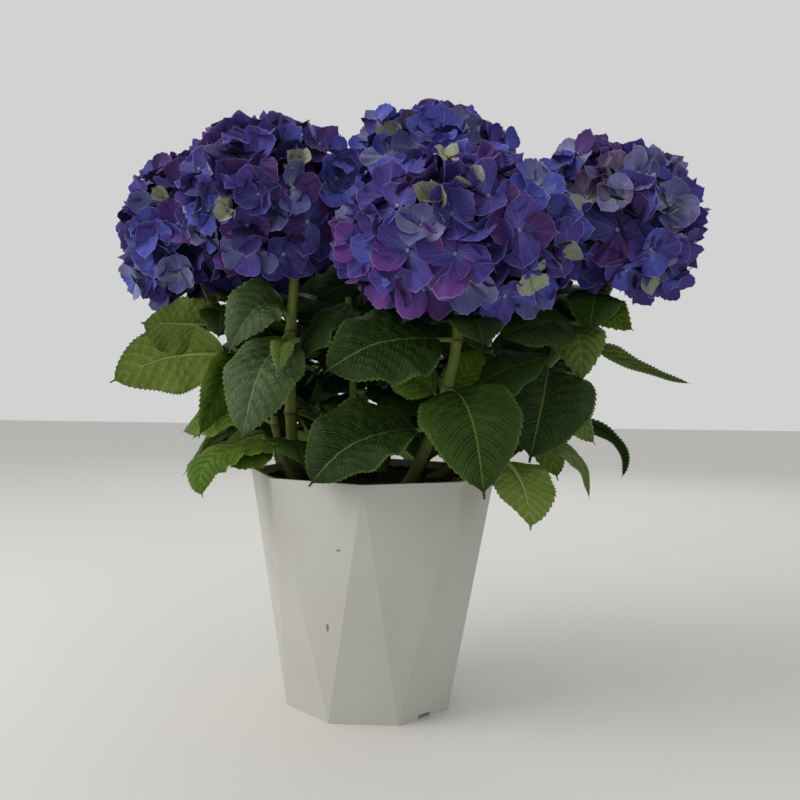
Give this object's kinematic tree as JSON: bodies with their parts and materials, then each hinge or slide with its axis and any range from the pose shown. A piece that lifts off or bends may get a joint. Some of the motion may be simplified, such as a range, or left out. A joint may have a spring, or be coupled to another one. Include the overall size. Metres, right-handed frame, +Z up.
{
  "type": "potted hydrangea shrub",
  "caption": "Mophead hydrangea in a faceted pale plastic pot: leafy canes rise from the soil and bear round heads of violet-blue florets over broad green leaves.",
  "frame": {"origin": "middle of the pot's flat underside", "axes": "+Z up along the pot, -Y towards the side that the plant shows, +X to the right seen from there"},
  "size_m": [0.4227, 0.3214, 0.4405],
  "materials": {
    "pot": "matte, moulded",
    "soil": "moist, crumbly",
    "cane": "satin green bark",
    "leaf": "satin, deeply veined",
    "bloom": "soft, papery"
  },
  "bodies": {
    "root": {"pot": "pot", "soil": "soil", "cane_front": "cane", "cane_front_left": "cane", "cane_far_left": "cane", "cane_centre": "cane", "cane_right": "cane", "cane_back_left": "cane", "cane_back_right": "cane", "cane_low_left": "cane", "cane_low_right": "cane", "cane_middle": "cane", "cane_side_left": "cane", "cane_side_right": "cane", "cane_back_low": "cane", "shoot_front": "leaf", "shoot_front_left": "leaf", "shoot_far_left": "leaf", "shoot_centre": "leaf", "shoot_right": "leaf", "shoot_back_left": "leaf", "shoot_back_right": "leaf", "shoot_low_left": "leaf", "shoot_low_right": "leaf", "shoot_middle": "leaf", "shoot_side_left": "leaf", "shoot_side_right": "leaf", "shoot_back_low": "leaf", "head_front": "bloom", "head_front_left": "bloom", "head_far_left": "bloom", "head_centre": "bloom", "head_right": "bloom", "head_back_left": "bloom", "head_back_right": "bloom"}
  },
  "joints": []
}
